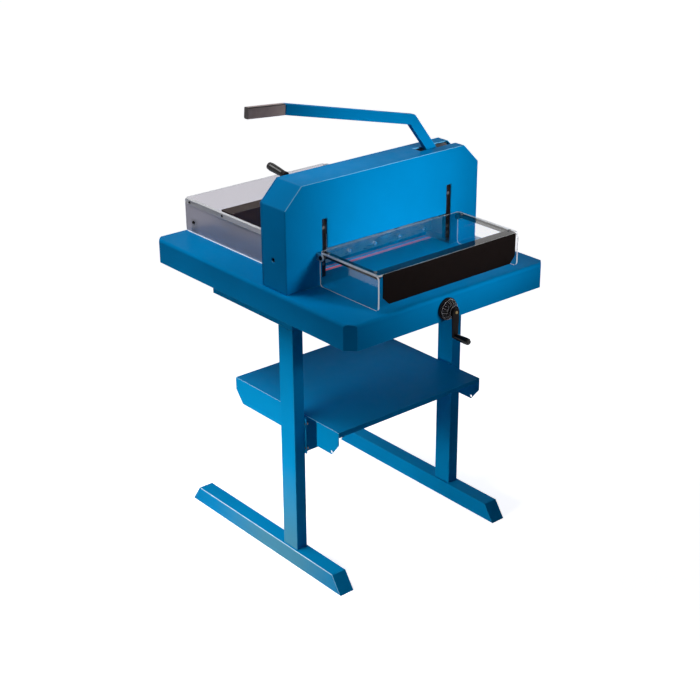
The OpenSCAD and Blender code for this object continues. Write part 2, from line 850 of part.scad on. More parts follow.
// Tie plate from y with tapped ends
module tie_plate(y) {
    difference() {
        xz(y, tie_t) tie_shape();
        for (s = [-1, 1])
            translate([s * (frame_x - tie_tap_l), y + tie_t / 2, tie_bolt_z]) rotate([0, s * 90, 0])
                cylinder(d = tie_bolt_d + 2 * fit, h = tie_tap_l + over, $fn = round_fn);
    }
}

module front_tie() {
    color(cast) on_table() tie_plate(tie_front_y);
}

module rear_tie() {
    color(cast) on_table() tie_plate(tie_rear_y);
}

module tie_bolts() {
    color(steel) on_table() for (s = [-1, 1], y = [tie_front_y, tie_rear_y])
        translate([s * (frame_x + frame_wall), y + tie_t / 2, tie_bolt_z]) rotate([0, s * 90, 0]) {
            cylinder(d = tie_head_d, h = bolt_head_h - over, $fn = 6);
            translate([0, 0, -frame_wall - tie_tap_l + over])
                cylinder(d = tie_bolt_d, h = frame_wall + tie_tap_l, $fn = round_fn);
        }
}

module depth_screw() {
    color(dark) on_table() difference() {
        union() {
            rod_x(-frame_x - frame_wall - bolt_head_h + over, depth_y, depth_z, tie_head_d,
                bolt_head_h - over);
            rod_x(-frame_x - frame_wall - over, depth_y, depth_z, tie_bolt_d, frame_wall + 3 * tie_bolt_d);
        }
        translate([-frame_x - frame_wall - bolt_head_h, depth_y, depth_z]) rotate([0, 90, 0])
            cylinder(d = tie_bolt_d - over, h = bolt_head_h - 2 * over, $fn = 6);
    }
}

module knife_carrier() {
    x0 = throat_x0 + slip;
    x1 = throat_x1 - slip;
    bar_back = bar_y0 + bar_t;
    color(steel) on_table() difference() {
        union() {
            span([x0, carrier_y0, carrier_z0], [x1, knife_y0, carrier_z1]);
            span([rack_x - tongue_w, carrier_y0, carrier_z1 - over],
                [rack_x, knife_y0, pivot_z + rack_top]);
            for (x = [x0, x1 - bar_w])
                span([x, bar_back, carrier_z0], [x + bar_w, carrier_y0 + over, block_z1]);
        }
        for (x = [x0, x1 - bar_w])
            rod_y(x + bar_w / 2, bar_back - over, bar_bolt_z[0], tie_bolt_d + 2 * fit, 2 * tie_tap_l);
        for (i = [-2 : 2])
            rod_y(throat_x + i * knife_pitch, carrier_y0 - over, knife_bolt_z, bolt_d + 2 * fit,
                carrier_t + 2 * over);
    }
}

module slide_bars() {
    color(dark) on_table() for (x = [throat_x0 + slip, throat_x1 - slip - bar_w])
        difference() {
            span([x, bar_y0, bar_z0], [x + bar_w, bar_y0 + bar_t, bar_z1]);
            for (z = bar_bolt_z)
                rod_y(x + bar_w / 2, bar_y0 - over, z, tie_bolt_d + 2 * fit, bar_t + 2 * over);
        }
}

module slide_bolts() {
    color(steel) on_table() for (x = [throat_x0 + slip, throat_x1 - slip - bar_w], z = bar_bolt_z) {
        rod_y(x + bar_w / 2, bar_y0, z, tie_bolt_d, z == bar_bolt_z[0] ? bar_t + tie_tap_l : bar_t);
        rod_y(x + bar_w / 2, bar_y0 - over + slip, z, bar_head_d, over - slip);
    }
}

module knife() {
    back = knife_y0 + knife_t;
    color(steel) on_table() difference() {
        yz(throat_x - knife_half, 2 * knife_half)
            polygon([[back, knife_up], [back, knife_z1], [knife_y0, knife_z1],
                [knife_y0, knife_up + bevel_h], [back - edge_t, knife_up]]);
        for (i = [-2 : 2])
            rod_y(throat_x + i * knife_pitch, knife_y0 - over, knife_bolt_z, bolt_d + 2 * fit,
                knife_t - over);
    }
}

module knife_bolts() {
    color(steel) on_table() for (i = [-2 : 2]) {
        rod_y(throat_x + i * knife_pitch, carrier_y0, knife_bolt_z, bolt_d, carrier_t + knife_t - 3 * over);
        translate([throat_x + i * knife_pitch, carrier_y0, knife_bolt_z]) rotate([90, 0, 0])
            difference() {
                cylinder(d = knife_head_d, h = bolt_head_h, $fn = round_fn);
                translate([0, 0, bolt_head_h / 2]) cylinder(d = knife_head_d / 2, h = bolt_head_h, $fn = 6);
            }
    }
}

module carrier_rack() {
    root = rack_x - root_k * tooth_m;
    color(steel) on_table() {
        xz(gear_y0, gear_t) translate([rack_x, pivot_z])
            rack_shape(-knife_lift - 3 * tooth_m, rack_top);
        span([root - rack_back, gear_y0 + gear_t - over, pivot_z - knife_lift - 3 * tooth_m],
            [root - over, carrier_y0, pivot_z + rack_top]);
    }
}

// Axes at the last bend of the lever, Z along the grip
module at_grip() {
    translate([last_bend[0], lever_y0 + lever_t / 2, last_bend[1]])
        rotate([0, -atan2(grip_dir[1], grip_dir[0]), 0]) rotate([90, 0, 90]) children();
}

module lever_bar() {
    h = lever_h / 2;
    n = len(lever_pts) - 2;
    color(blue) on_table() difference() {
        union() {
            xz(lever_y0, lever_t)
                polygon(concat([for (i = [0 : n]) lever_pts[i] + miter(lever_pts, i, h)],
                    [for (i = [n : -1 : 0]) lever_pts[i] - miter(lever_pts, i, h)]));
            at_grip()
                span([-tang_t / 2, -tang_h / 2, -lever_t], [tang_t / 2, tang_h / 2, grip_l]);
            rod_y(pivot_x, lever_y0, pivot_z, lever_hub_d, lever_t);
        }
        rod_y(pivot_x, lever_y0 - over, pivot_z, shaft_d + 2 * fit, lever_t + 2 * over);
    }
}

module lever_sector() {
    color(cast) on_table() difference() {
        union() {
            xz(gear_y0, gear_t) translate(lever_pts[0])
                polygon(concat([[0, 0]], [for (i = [sector_first : sector_last])
                    each tooth(sector_n, 180 + i * 360 / sector_n)]));
            rod_y(pivot_x, gear_y0, pivot_z, 2 * hub_r, lever_y0 - gear_y0);
        }
        rod_y(pivot_x, gear_y0 - over, pivot_z, shaft_d + 2 * fit, lever_t + gear_t);
    }
}

module lever_shaft() {
    color(steel) on_table()
        rod_y(pivot_x, tie_front_y, pivot_z, shaft_d, tie_rear_y + tie_t - tie_front_y);
}

module lever_grip() {
    color(brown) on_table() at_grip() difference() {
        translate([0, 0, grip_start]) linear_extrude(height = grip_l + grip_end - grip_start)
            round_rect([-grip_t / 2, -grip_h / 2], [grip_t / 2, grip_h / 2], grip_r);
        span([-tang_t / 2 - fit, -tang_h / 2 - fit, -over],
            [tang_t / 2 + fit, tang_h / 2 + fit, grip_l + fit]);
    }
}

module clamp_beam() {
    color(steel) on_table() difference() {
        span([throat_x0 + 2 * slip, clamp_y0, clamp_z0],
            [throat_x1 - 2 * slip, clamp_y0 + clamp_t, clamp_z1]);
        for (s = [-1, 1])
            rod_z(throat_x + s * rod_at, clamp_mid, clamp_z1 - rod_d, rod_d + fit, rod_d + over);
    }
}

module clamp_rods() {
    color(steel) on_table() for (s = [-1, 1])
        rod_z(throat_x + s * rod_at, clamp_mid, clamp_z1 - rod_d, rod_d,
            clamp_z + clamp_drop - clamp_z1 + 2 * rod_d);
}

module rod_guides() {
    color(cast) on_table() for (s = [-1, 1])
        difference() {
            span([throat_x + s * rod_at - rod_guide_w / 2, clamp_y0, rod_guide_z0],
                [throat_x + s * rod_at + rod_guide_w / 2, head_in_y1, rod_guide_z0 + rod_guide_h]);
            rod_z(throat_x + s * rod_at, clamp_mid, rod_guide_z0 - over, rod_d + 2 * fit,
                rod_guide_h + 2 * over);
        }
}

module clamp_rack() {
    color(steel) on_table() xz(clamp_y0, clamp_t - over) translate([clamp_rack_x, clamp_z]) mirror([1, 0])
        rack_shape(clamp_z1 - clamp_z, clamp_drop + 2 * tooth_m);
}

module clamp_pinion() {
    color(cast) on_table() difference() {
        xz(clamp_y0, clamp_t - over) translate([clamp_x, clamp_z])
            polygon([for (i = [0 : pinion_n - 1]) each tooth(pinion_n, i * 360 / pinion_n)]);
        rod_y(clamp_x, clamp_y0 - over, clamp_z, clamp_shaft_d + fit, clamp_t + 2 * over);
    }
}

module clamp_shaft() {
    color(steel) on_table()
        rod_y(clamp_x, clamp_y0, clamp_z, clamp_shaft_d, clamp_arm_y + clamp_arm_t - clamp_y0);
}

module clamp_bush() {
    color(brass) on_table() difference() {
        union() {
            rod_y(clamp_x, head_in_y1 - over, clamp_z, bush_d, head_t + 2 * over);
            rod_y(clamp_x, head_y1, clamp_z, bush_flange_d, bush_flange_t);
        }
        rod_y(clamp_x, clamp_y0, clamp_z, clamp_shaft_d + 2 * fit, head_d);
    }
}

// Axes on the clamp shaft, turned with the clamp arm
module at_clamp() {
    translate([clamp_x, clamp_arm_y, clamp_z]) rotate([0, -clamp_lean, 0]) children();
}

// Axes where the clamp grip starts, Z along its stud
module at_clamp_grip() {
    at_clamp() translate([0, clamp_arm_t, clamp_arm_l]) rotate([clamp_stud_deg - 90, 0, 0])
        translate([0, 0, clamp_grip_gap]) children();
}

module clamp_arm() {
    root = clamp_grip_gap + clamp_arm_t / 2;
    color(dark) on_table() difference() {
        union() {
            at_clamp() xz(0, clamp_arm_t) {
                circle(d = clamp_boss_d, $fn = round_fn);
                translate([-clamp_arm_w / 2, 0]) square([clamp_arm_w, clamp_arm_l]);
                translate([0, clamp_arm_l]) circle(d = clamp_arm_w, $fn = round_fn);
            }
            at_clamp_grip() translate([0, 0, -root])
                cylinder(d = bolt_d, h = root + clamp_stud_l, $fn = round_fn);
        }
        rod_y(clamp_x, clamp_arm_y - over, clamp_z, clamp_shaft_d + fit, clamp_arm_t + 2 * over);
    }
}

module clamp_grip() {
    color(dark) on_table() at_clamp_grip() difference() {
        rotate_extrude($fn = round_fn)
            polygon(grip_profile(clamp_grip_d / 2, clamp_grip_l));
        translate([0, 0, -over])
            cylinder(d = bolt_d + 2 * fit, h = clamp_stud_l + 2 * over, $fn = round_fn);
    }
}

// Sites of the wall angles: side and y
angle_sites = [for (side = [0, 1], y = [head_y1 + angle_front, bay_y1 - angle_rear]) [side, y]];
// Sites of the strip screws along y
strip_sites = [bay_y1 - strip_screw_in - strip_screw_pitch, bay_y1 - strip_screw_in];

// Wall of the rear guard from x, drilled for its angles and strip
module bay_wall(x) {
    difference() {
        yz(x, clear_t) round_rect([head_y1 + slip, slip], [bay_y1, bay_h], bay_r);
        for (a = angle_sites)
            rod_x(x - over, a[1], angle_hole_z, dot_d / 2 + fit, clear_t + 2 * over);
        for (y = strip_sites)
            rod_x(x - over, y, strip_z, dot_d / 2 + fit, clear_t + 2 * over);
    }
}

module bay_left() {
    color(clear) on_table() bay_wall(bay_x0);
}

module bay_right() {
    color(clear) on_table() bay_wall(bay_x1 - clear_t);
}

module bay_back() {
    color(clear) on_table()
        span([bay_x0 + clear_t + slip, bay_y1 - clear_t, slip], [bay_x1 - clear_t - slip, bay_y1, bay_h]);
}

module bay_strips() {
    color(clear) on_table() for (x = [bay_x0 - clear_t, bay_x1])
        difference() {
            span([x, head_y1 + bay_r, bay_h - strip_h], [x + clear_t, bay_y1 - bay_r, bay_h]);
            for (y = strip_sites)
                rod_x(x - over, y, strip_z, dot_d / 2 + fit, clear_t + 2 * over);
        }
}

module bay_brackets() {
    color(steel) on_table() for (a = angle_sites) {
        x = a[0] == 0 ? bay_x0 + clear_t : bay_x1 - clear_t;
        s = a[0] == 0 ? 1 : -1;
        difference() {
            union() {
                span([min(x, x + s * angle_t), a[1] - angle_w / 2, 0],
                    [max(x, x + s * angle_t), a[1] + angle_w / 2, angle_h]);
                span([min(x, x + s * angle_w), a[1] - angle_w / 2, 0],
                    [max(x, x + s * angle_w), a[1] + angle_w / 2, angle_t]);
            }
            rod_x(x - angle_t - over, a[1], angle_hole_z, dot_d / 2 + fit, 2 * angle_t + 2 * over);
        }
    }
}

module bay_screws() {
    color(dark) on_table() {
        for (a = angle_sites) {
            x = a[0] == 0 ? bay_x0 : bay_x1;
            s = a[0] == 0 ? 1 : -1;
            translate([x, a[1], angle_hole_z]) rotate([0, s * 90, 0]) {
                translate([0, 0, -dot_h]) cylinder(d = dot_d, h = dot_h, $fn = round_fn);
                cylinder(d = dot_d / 2, h = clear_t + angle_t, $fn = round_fn);
            }
        }
        for (s = [-1, 1], y = strip_sites)
            translate([throat_x - s * (bay_w / 2 + clear_t), y, strip_z]) rotate([0, s * 90, 0]) {
                translate([0, 0, over - dot_h]) cylinder(d = strip_screw_d, h = dot_h - over, $fn = round_fn);
                cylinder(d = dot_d / 2, h = 2 * clear_t, $fn = round_fn);
            }
    }
}

// Clear side panel of the front guard from x
module guard_panel(x) {
    yz(x, clear_t) difference() {
        round_rect([guard_y0, guard_low], [guard_y1, guard_sheet_z], 2 * clear_t);
        translate([pin_y, pin_z]) circle(d = pin_d + 2 * fit, $fn = round_fn);
    }
}

module guard_left() {
    color(clear) on_table() guard_panel(guard_x0);
}

module guard_right() {
    color(clear) on_table() guard_panel(guard_x1 - clear_t);
}

// Sites of the screws in the clear top sheet
guard_sites = [for (x = [guard_x0 + clear_t + arm_strip_w / 2, guard_x1 - clear_t - arm_strip_w / 2],
    y = [guard_y0 + guard_screw_in, guard_y1 - guard_screw_in]) [x, y]];

module guard_top() {
    color(clear) on_table() difference() {
        translate([0, 0, guard_sheet_z]) linear_extrude(height = clear_t)
            round_rect([guard_x0, guard_y0], [guard_x1, guard_y1], 2 * clear_t);
        for (p = guard_sites)
            rod_z(p[0], p[1], guard_sheet_z - over, dot_d / 2 + fit, clear_t + 2 * over);
    }
}

module guard_front() {
    x0 = guard_x0 + panel_in;
    x1 = guard_x1 - panel_in;
    y = guard_y0 - slip - panel_t;
    color(dark) on_table() {
        xz(y, panel_t)
            polygon([[x0, guard_h], [x0, panel_z0 + panel_cut], [x0 + panel_cut, panel_z0],
                [x1 - panel_cut, panel_z0], [x1, panel_z0 + panel_cut], [x1, guard_h]]);
        span([guard_x0 + clear_t + arm_strip_w + slip, y + over, guard_sheet_z - panel_t],
            [guard_x1 - clear_t - arm_strip_w - slip, guard_y0 + lip_d, guard_sheet_z]);
    }
}

module guard_arms() {
    z0 = guard_sheet_z - arm_strip_h;
    color(dark) on_table() for (x = [guard_x0 + clear_t, guard_x1 - clear_t - arm_strip_w])
        difference() {
            union() {
                span([x, guard_y0 + 2 * panel_t, z0], [x + arm_strip_w, pin_y, guard_sheet_z]);
                rod_x(x, pin_y, pin_z, eye_d, arm_strip_w);
            }
            rod_x(x - over, pin_y, pin_z, pin_d + fit, arm_strip_w + 2 * over);
            for (p = guard_sites)
                rod_z(p[0], p[1], z0 - over, dot_d / 2 + fit, arm_strip_h + over);
        }
}

module guard_screws() {
    color(steel) on_table() for (p = guard_sites) {
        rod_z(p[0], p[1], guard_h, dot_d, dot_h - over);
        rod_z(p[0], p[1], guard_sheet_z - arm_strip_h, dot_d / 2, arm_strip_h + clear_t);
    }
}

module guard_pins() {
    l = clear_t + arm_strip_w + bracket_t + 3 * over;
    color(dark) on_table() for (s = [-1, 1]) {
        x = s < 0 ? guard_x0 - bracket_t - 3 * over : guard_x1 + bracket_t + 3 * over - l;
        rod_x(x, pin_y, pin_z, pin_d, l);
        rod_x(s < 0 ? x : x + l - 2 * over, pin_y, pin_z, pin_head_d, 2 * over);
    }
}

module guard_brackets() {
    color(dark) on_table() for (x = [guard_x0 - over - bracket_t, guard_x1 + over])
        yz(x, bracket_t) difference() {
            union() {
                translate([pin_y, pin_z - bracket_w / 2]) square([head_y - pin_y, bracket_w]);
                translate([pin_y, pin_z]) circle(d = bracket_w, $fn = round_fn);
            }
            translate([pin_y, pin_z]) circle(d = pin_d + 2 * fit, $fn = round_fn);
        }
}

feet();
foot_caps();
posts();
bearers();
cross_brace();
brace_bolts();
shelf();
table_pan();
bed_rails();
cutting_stick();
gauge_casting();
gauge_nut();
gauge_screw();
screw_bearings();
thrust_collar();
crank_plate();
crank_hub();
crank_arm();
crank_screw();
crank_grip();
housing_cover();
rear_panel();
side_frames();
front_tie();
rear_tie();
tie_bolts();
knife_carrier();
slide_bars();
slide_bolts();
knife();
knife_bolts();
carrier_rack();
lever_bar();
lever_sector();
lever_shaft();
lever_grip();
depth_screw();
clamp_beam();
clamp_rack();
clamp_pinion();
clamp_shaft();
clamp_bush();
clamp_arm();
clamp_grip();
clamp_rods();
rod_guides();
bay_left();
bay_right();
bay_back();
bay_strips();
bay_brackets();
bay_screws();
guard_left();
guard_right();
guard_top();
guard_front();
guard_arms();
guard_screws();
guard_pins();
guard_brackets();
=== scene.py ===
"""Looks of the lever guillotine for paper stacks: materials, edges, floor, light and camera."""

import json
import math

import bpy
from mathutils import Matrix, Vector


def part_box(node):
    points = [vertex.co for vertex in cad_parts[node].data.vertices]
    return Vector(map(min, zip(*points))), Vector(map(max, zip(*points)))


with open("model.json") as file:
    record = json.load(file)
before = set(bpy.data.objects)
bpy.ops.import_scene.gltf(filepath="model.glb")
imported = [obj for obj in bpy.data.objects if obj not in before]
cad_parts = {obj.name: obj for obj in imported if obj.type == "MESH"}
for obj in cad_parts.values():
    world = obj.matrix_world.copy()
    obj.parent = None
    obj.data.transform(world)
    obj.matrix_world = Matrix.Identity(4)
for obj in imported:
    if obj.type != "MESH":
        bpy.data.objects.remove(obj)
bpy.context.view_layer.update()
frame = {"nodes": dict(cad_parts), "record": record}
nodes = frame["nodes"]
scene = bpy.context.scene

# Colours, linear
WHITE = (1.0, 1.0, 1.0)
BLUE = (0.0, 0.215, 0.510)
# Edge tone of the blue paint: partly worn paint, partly painted highlight
BLUE_RUBBED_AND_LIT = (0.06, 0.42, 0.74)
# Painted highlight on the corners of the feet and shelf turned up and to the left
BLUE_BEND_HIGHLIGHT = (0.62, 0.80, 0.95)
PAINT_SHEEN = (0.02, 0.50, 0.95)
EDGE_SHEEN = (0.05, 0.55, 0.95)
# Painted reflection of the pale floor on the left faces near it
FLOOR_REFLECTION = (0.058, 0.222, 0.355)
GAUGE_BROWN = (0.036, 0.024, 0.022)
# Painted light: the lighter brown given to the gauge's front face
GAUGE_FRONT_LIGHT = (0.140, 0.068, 0.058)
# Painted shade on the grip's left end and on its corner turned up and to the front
GRIP_END_SHADE = (0.045, 0.038, 0.038)
STEEL_THREAD = (0.58, 0.59, 0.61)
STRIP_TINT = (0.78, 0.77, 0.82)
FRONT_TINT = (0.95, 0.955, 0.97)
REAR_TINT = (0.43, 0.41, 0.48)
BACK_TINT = (0.64, 0.62, 0.66)
SAWN_EDGE = (0.90, 0.91, 0.93)
# Colour of the painted glow at the foot of the rear side sheets
PAINTED_FOOT_GLOW = (0.90, 0.92, 1.0)
FLOOR_GREY = (0.72, 0.74, 0.84)
SKY = (0.72, 0.76, 1.0)
LOW_LAMP = (1.0, 0.97, 0.83)

# Sizes in metres, strengths and finishes
WAVE_STEP = 20.0  # the wave texture turns once in tau / 20 of its scaled length
THREAD_PITCH = 0.003
ACRYLIC_IOR = 1.49
GLOW_STRENGTH = 0.35
BAND_HEIGHT = 0.017
GLOW_HEIGHT = 0.003
BORDER = 0.0005
PAINT_GLOSS, PAINT_SPEC, PAINT_PEEL, PAINT_WEAR_AND_LIGHT = 0.42, 0.015, 0.10, 0.7
WELD_GAP = 0.00002
EDGE_ANGLE = math.radians(32)
ROUND_FROM_MM = 1.0
FLOOR_SIZE = 60
FLOOR_NEAR, FLOOR_FAR = 0.6, 1.7
FLOOR_DIM, FLOOR_BRIGHT = 0.86, 0.98
WORLD_STRENGTH = 0.065


# Node helpers

def new_material(name):
    m = bpy.data.materials.new(name)
    m.use_nodes = True
    t = m.node_tree
    t.nodes.clear()
    out = t.nodes.new("ShaderNodeOutputMaterial")
    bsdf = t.nodes.new("ShaderNodeBsdfPrincipled")
    t.links.new(bsdf.outputs["BSDF"], out.inputs["Surface"])
    coord = t.nodes.new("ShaderNodeTexCoord").outputs["Object"]
    return m, t, bsdf, coord


def noise(t, coord, scale, detail, stretch=None):
    """Noise in metres: scale is features per metre, stretch squeezes it along the axes."""
    if stretch:
        mapping = t.nodes.new("ShaderNodeMapping")
        mapping.inputs["Scale"].default_value = stretch
        t.links.new(coord, mapping.inputs["Vector"])
        coord = mapping.outputs["Vector"]
    n = t.nodes.new("ShaderNodeTexNoise")
    n.inputs["Scale"].default_value = scale
    n.inputs["Detail"].default_value = detail
    n.inputs["Roughness"].default_value = 0.55
    t.links.new(coord, n.inputs["Vector"])
    return n.outputs["Fac"]


def remap(t, value, low, high, a=0.3, b=0.7):
    r = t.nodes.new("ShaderNodeMapRange")
    r.inputs["From Min"].default_value = a
    r.inputs["From Max"].default_value = b
    r.inputs["To Min"].default_value = low
    r.inputs["To Max"].default_value = high
    t.links.new(value, r.inputs["Value"])
    return r.outputs["Result"]


def ramp(t, value, stops):
    r = t.nodes.new("ShaderNodeValToRGB")
    e = r.color_ramp.elements
    while len(e) < len(stops):
        e.new(0.5)
    for slot, (pos, col) in zip(e, stops):
        slot.position = pos
        slot.color = (*col, 1.0)
    t.links.new(value, r.inputs["Fac"])
    return r.outputs["Color"]


def blend(t, fac, a, b):
    """Colour a where fac is 0 and b where it is 1; each is a colour or a socket."""
    m = t.nodes.new("ShaderNodeMix")
    m.data_type = "RGBA"
    t.links.new(fac, m.inputs["Factor"])
    for sock, v in ((m.inputs["A"], a), (m.inputs["B"], b)):
        if isinstance(v, tuple):
            sock.default_value = (*v, 1.0)
        else:
            t.links.new(v, sock)
    return m.outputs["Result"]


def worn_and_lit_edges(t, radius, most):
    """Most on corners of the mesh within the radius, 0 on its flats."""
    soft = t.nodes.new("ShaderNodeBevel")
    soft.samples = 4
    soft.inputs["Radius"].default_value = radius
    g = t.nodes.new("ShaderNodeNewGeometry")
    dot = t.nodes.new("ShaderNodeVectorMath")
    dot.operation = "DOT_PRODUCT"
    t.links.new(soft.outputs["Normal"], dot.inputs[0])
    t.links.new(g.outputs["Normal"], dot.inputs[1])
    return remap(t, dot.outputs["Value"], most, 0.0, 0.88, 0.985)


def bump(t, bsdf, heights):
    """Chains bumps from (height socket, strength, depth in metres)."""
    last = None
    for h, strength, depth in heights:
        b = t.nodes.new("ShaderNodeBump")
        b.inputs["Strength"].default_value = strength
        b.inputs["Distance"].default_value = depth
        t.links.new(h, b.inputs["Height"])
        if last:
            t.links.new(last, b.inputs["Normal"])
        last = b.outputs["Normal"]
    t.links.new(last, bsdf.inputs["Normal"])


def scaled(c, k):
    return tuple(v * k for v in c)


def facing(t, coord, axis, a, b):
    """Goes from 0 where the surface's own normal along the axis is a to 1 where it is b."""
    parts = t.nodes.new("ShaderNodeSeparateXYZ")
    t.links.new(coord.node.outputs["Normal"], parts.inputs[0])
    return remap(t, parts.outputs[axis], 0.0, 1.0, a, b)


def joined(t, operation, a, b):
    """Output of a math node on two sockets."""
    m = t.nodes.new("ShaderNodeMath")
    m.operation = operation
    t.links.new(a, m.inputs[0])
    t.links.new(b, m.inputs[1])
    return m.outputs[0]


def fade(t, coord, axis, full, none):
    """1 on one side of the first place along an axis of the row, fading to 0 at the second one."""
    parts = t.nodes.new("ShaderNodeSeparateXYZ")
    t.links.new(coord, parts.inputs[0])
    return remap(t, parts.outputs[axis], 1.0, 0.0, full, none)


# Materials

def paint(name, colour, gloss, spec, peel, edge_wear_and_light, most=0.6, sheen=WHITE, front=None, floor_reflection=None, bend_highlight=None):
    """Sprayed paint: slow tone drift, orange peel and brighter edges, partly worn paint and partly painted
    highlight.

    The last three arguments paint light: painted light on the faces turned to the front, a painted reflection
    of the floor on the left faces near it, and a painted highlight on the corners turned up and to the left.
    """
    m, t, bsdf, co = new_material(name)
    drift = noise(t, co, 5.0, 4.0)
    tone = ramp(t, drift, [(0.3, scaled(colour, 0.93)), (0.7, scaled(colour, 1.05))])
    speck = remap(t, noise(t, co, 1400.0, 2.0), 0.0, 0.16, 0.62, 0.80)
    tone = blend(t, speck, tone, scaled(colour, 0.62))
    # Painted light: faces turned to the front take a lighter colour
    if front:
        tone = blend(t, facing(t, co, "Y", -0.7, -0.95), tone, front)
    # Painted reflection: the left faces near the floor, around the middle of their length, take the pale tone
    # of the reflected floor
    if floor_reflection:
        low_left = joined(t, "MULTIPLY", fade(t, co, "Z", 0.05, 0.32), facing(t, co, "X", -0.5, -0.9))
        low_left = joined(t, "MULTIPLY", low_left, fade(t, co, "X", -0.15, -0.05))
        ends = joined(t, "MULTIPLY", fade(t, co, "Y", 0.05, 0.30), fade(t, co, "Y", -0.12, -0.36))
        tone = blend(t, joined(t, "MULTIPLY", low_left, ends), tone, floor_reflection)
    # Edges: partly worn paint, partly painted highlight
    tone = blend(t, worn_and_lit_edges(t, 0.002, most), tone, edge_wear_and_light)
    # Painted highlight: the corners turned up and to the left, on the left side, are paler
    if bend_highlight:
        up_left = joined(t, "MULTIPLY", facing(t, co, "X", -0.2, -0.45), facing(t, co, "Z", 0.2, 0.45))
        tone = blend(t, joined(t, "MULTIPLY", up_left, fade(t, co, "X", -0.15, 0.15)), tone, bend_highlight)
    t.links.new(tone, bsdf.inputs["Base Color"])
    t.links.new(remap(t, noise(t, co, 38.0, 5.0), gloss - 0.05, gloss + 0.07), bsdf.inputs["Roughness"])
    bsdf.inputs["Specular IOR Level"].default_value = spec
    bsdf.inputs["Specular Tint"].default_value = (*sheen, 1.0)
    fine, coarse = noise(t, co, 620.0, 2.0), noise(t, co, 90.0, 2.0)
    bump(t, bsdf, [(fine, peel, 0.00025), (coarse, peel * 0.4, 0.0004)])
    return m


def lit_edge(name, colour, shine, spec, sheen):
    """Rounded corner: its turn up and to the front gets a paler painted highlight."""
    m, t, bsdf, co = new_material(name)
    tone = ramp(t, noise(t, co, 9.0, 4.0), [(0.3, scaled(colour, 0.93)), (0.7, colour)])
    # Painted highlight: where the corner turns up and to the front
    turned = joined(t, "MULTIPLY", facing(t, co, "Z", 0.10, 0.45), facing(t, co, "Y", -0.15, -0.45))
    t.links.new(blend(t, turned, tone, shine), bsdf.inputs["Base Color"])
    t.links.new(remap(t, noise(t, co, 38.0, 5.0), 0.30, 0.42), bsdf.inputs["Roughness"])
    bsdf.inputs["Specular IOR Level"].default_value = spec
    bsdf.inputs["Specular Tint"].default_value = (*sheen, 1.0)
    bump(t, bsdf, [(noise(t, co, 620.0, 2.0), 0.06, 0.00025)])
    return m


def metal(name, colour, rough, grain, stretch, dark=0.72):
    """Ground or cast metal: drawn grain, smudges and a few scratches."""
    m, t, bsdf, co = new_material(name)
    smudge = noise(t, co, 22.0, 5.0)
    tone = ramp(t, smudge, [(0.32, scaled(colour, dark)), (0.62, colour)])
    lines = noise(t, co, grain, 3.0, stretch)
    tone = blend(t, remap(t, lines, 0.0, 0.35, 0.5, 0.75), tone, scaled(colour, 0.55))
    t.links.new(tone, bsdf.inputs["Base Color"])
    bsdf.inputs["Metallic"].default_value = 1.0
    t.links.new(remap(t, lines, rough - 0.06, rough + 0.10), bsdf.inputs["Roughness"])
    bump(t, bsdf, [(lines, 0.12, 0.00012)])
    return m


def plastic(name, colour, rough, spec, grain, strength, edge=None, end=None):
    """Moulded plastic: fine grain, finger-worn gloss and lighter rubbed edges unless an edge tone is given, at
    times painted shade on the left end and on the corner turned up and to the front.
    """
    m, t, bsdf, co = new_material(name)
    tone = ramp(t, noise(t, co, 30.0, 4.0), [(0.3, scaled(colour, 0.85)), (0.7, scaled(colour, 1.2))])
    # Painted shade: the end turned to the left and the corner turned up and to the front are darker
    if end:
        corner = joined(t, "MULTIPLY", facing(t, co, "Z", 0.15, 0.40), facing(t, co, "Y", -0.15, -0.40))
        tone = blend(t, joined(t, "MAXIMUM", facing(t, co, "X", -0.6, -0.85), corner), tone, end)
    rubbed = edge or tuple(min(v * 2.2 + 0.01, 1.0) for v in colour)
    tone = blend(t, worn_and_lit_edges(t, 0.0012, 0.5), tone, rubbed)
    t.links.new(tone, bsdf.inputs["Base Color"])
    t.links.new(remap(t, noise(t, co, 55.0, 5.0), rough * 0.75, rough * 1.3), bsdf.inputs["Roughness"])
    bsdf.inputs["Specular IOR Level"].default_value = spec
    bump(t, bsdf, [(noise(t, co, grain, 2.0), strength, 0.0002)])
    return m


